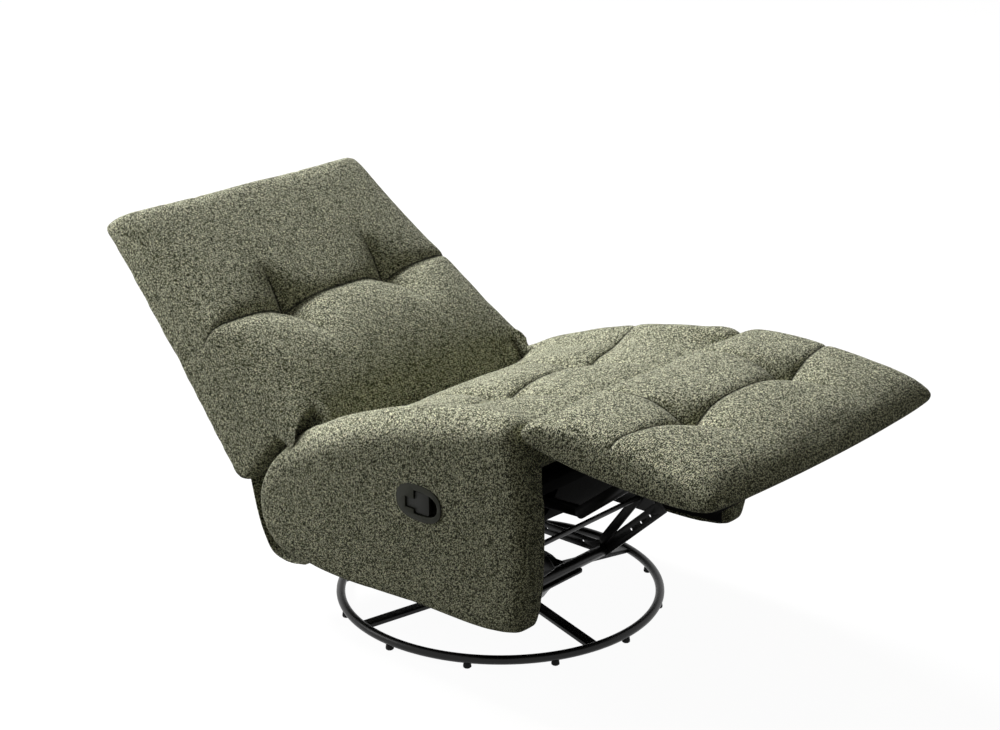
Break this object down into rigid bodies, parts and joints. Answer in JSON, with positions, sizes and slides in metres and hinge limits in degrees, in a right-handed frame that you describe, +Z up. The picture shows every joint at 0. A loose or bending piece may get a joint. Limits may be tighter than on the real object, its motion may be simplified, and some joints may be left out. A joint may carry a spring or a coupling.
{
  "type": "star base swivel recliner",
  "caption": "Upholstered swivel recliner on a round tube ring base, with a tufted reclining back, a tufted seat between padded side panels and a fold-out footrest on steel links.",
  "frame": {"origin": "on the floor, under the swivel axis, which is also the middle of the chair's length and width as shown", "axes": "+Z up, the sitter faces -Y, +X to the sitter's left"},
  "size_m": [0.7433, 1.5858, 0.7673],
  "materials": {
    "black_metal": "satin black powder coat",
    "dark_steel": "dark phosphated steel",
    "glide_rubber": "matt black moulded rubber",
    "handle_plastic": "fine-grained matt black plastic",
    "cloth": "olive grey-green mottled woven boucle with light and dark flecks",
    "plywood": "raw sanded plywood"
  },
  "bodies": {
    "base": {"base_ring": "black_metal", "glide_01": "glide_rubber", "glide_02": "glide_rubber", "glide_03": "glide_rubber", "glide_04": "glide_rubber", "glide_05": "glide_rubber", "glide_06": "glide_rubber", "glide_07": "glide_rubber", "glide_08": "glide_rubber", "glide_09": "glide_rubber", "glide_10": "glide_rubber", "glide_11": "glide_rubber", "glide_12": "glide_rubber", "hub_pan": "black_metal", "spoke_1": "black_metal", "spoke_2": "black_metal", "spoke_3": "black_metal", "spoke_4": "black_metal", "bearing_race_lower": "dark_steel", "king_bolt": "dark_steel"},
    "seat": {"bearing_race_upper": "dark_steel", "swivel_plate": "black_metal", "cross_tube_front": "black_metal", "cross_tube_rear": "black_metal", "base_rail_left": "black_metal", "base_rail_right": "black_metal", "front_arm_left": "black_metal", "front_arm_right": "black_metal", "rear_arm_left": "black_metal", "rear_arm_right": "black_metal", "brace_left": "black_metal", "brace_right": "black_metal", "cross_rod": "dark_steel", "side_plate_left": "black_metal", "side_plate_right": "black_metal", "back_hinge_pin_left": "dark_steel", "back_hinge_pin_right": "dark_steel", "seat_deck": "plywood", "seat_front_rail": "plywood", "seat_cushion": "cloth", "side_panel_left": "cloth", "side_panel_right": "cloth", "handle_escutcheon": "handle_plastic", "rear_skirt": "cloth"},
    "back": {"back_bracket_left": "dark_steel", "back_bracket_right": "dark_steel", "back_shell": "cloth", "back_cushion": "cloth"},
    "lower_link_left": {"footrest_lower_link_left": "black_metal"},
    "lower_link_right": {"footrest_lower_link_right": "black_metal"},
    "upper_link_left": {"footrest_upper_link_left": "black_metal"},
    "upper_link_right": {"footrest_upper_link_right": "black_metal"},
    "footrest": {"footrest_bracket_left": "black_metal", "footrest_bracket_right": "black_metal", "footrest_board": "plywood", "footrest_cushion": "cloth"},
    "paddle": {"release_paddle": "handle_plastic"}
  },
  "joints": [
    {"name": "swivel", "type": "hinge", "parent": "base", "child": "seat", "pos_m": [0, 0, 0.0625], "axis": [0, 0, 1], "continuous": true},
    {"name": "back_recline", "type": "hinge", "parent": "seat", "child": "back", "pos_m": [0, 0.23294, 0.38584], "axis": [1, 0, 0], "range_deg": [0, 38]},
    {"name": "footrest_fold", "type": "hinge", "parent": "seat", "child": "lower_link_left", "pos_m": [0.186, -0.18, 0.345], "axis": [1, 0, 0], "range_deg": [0, 49.8]},
    {"name": "elbow_left", "type": "hinge", "parent": "lower_link_left", "child": "upper_link_left", "pos_m": [0.19, -0.36481, 0.35336], "axis": [1, 0, 0], "range_deg": [-89.6, 0]},
    {"name": "footrest_turn", "type": "hinge", "parent": "upper_link_left", "child": "footrest", "pos_m": [0.19, -0.51, 0.468], "axis": [1, 0, 0], "range_deg": [0, 129.6]},
    {"name": "fold_right", "type": "hinge", "parent": "seat", "child": "lower_link_right", "pos_m": [-0.186, -0.18, 0.345], "axis": [1, 0, 0], "range_deg": [0, 50]},
    {"name": "elbow_right", "type": "hinge", "parent": "lower_link_right", "child": "upper_link_right", "pos_m": [-0.19, -0.36481, 0.35336], "axis": [1, 0, 0], "range_deg": [-89.6, 0]},
    {"name": "paddle_pull", "type": "hinge", "parent": "seat", "child": "paddle", "pos_m": [-0.3643, -0.1145, 0.3616], "axis": [0, 0, -1], "range_deg": [0, 28], "stiffness_Nm_per_rad": 0.2}
  ],
  "couplings": [
    {"joint": "elbow_left", "follows": "footrest_fold", "ratio": -1.7956},
    {"joint": "footrest_turn", "follows": "footrest_fold", "ratio": 2.5999},
    {"joint": "fold_right", "follows": "footrest_fold", "ratio": 1},
    {"joint": "elbow_right", "follows": "footrest_fold", "ratio": -1.7956}
  ]
}
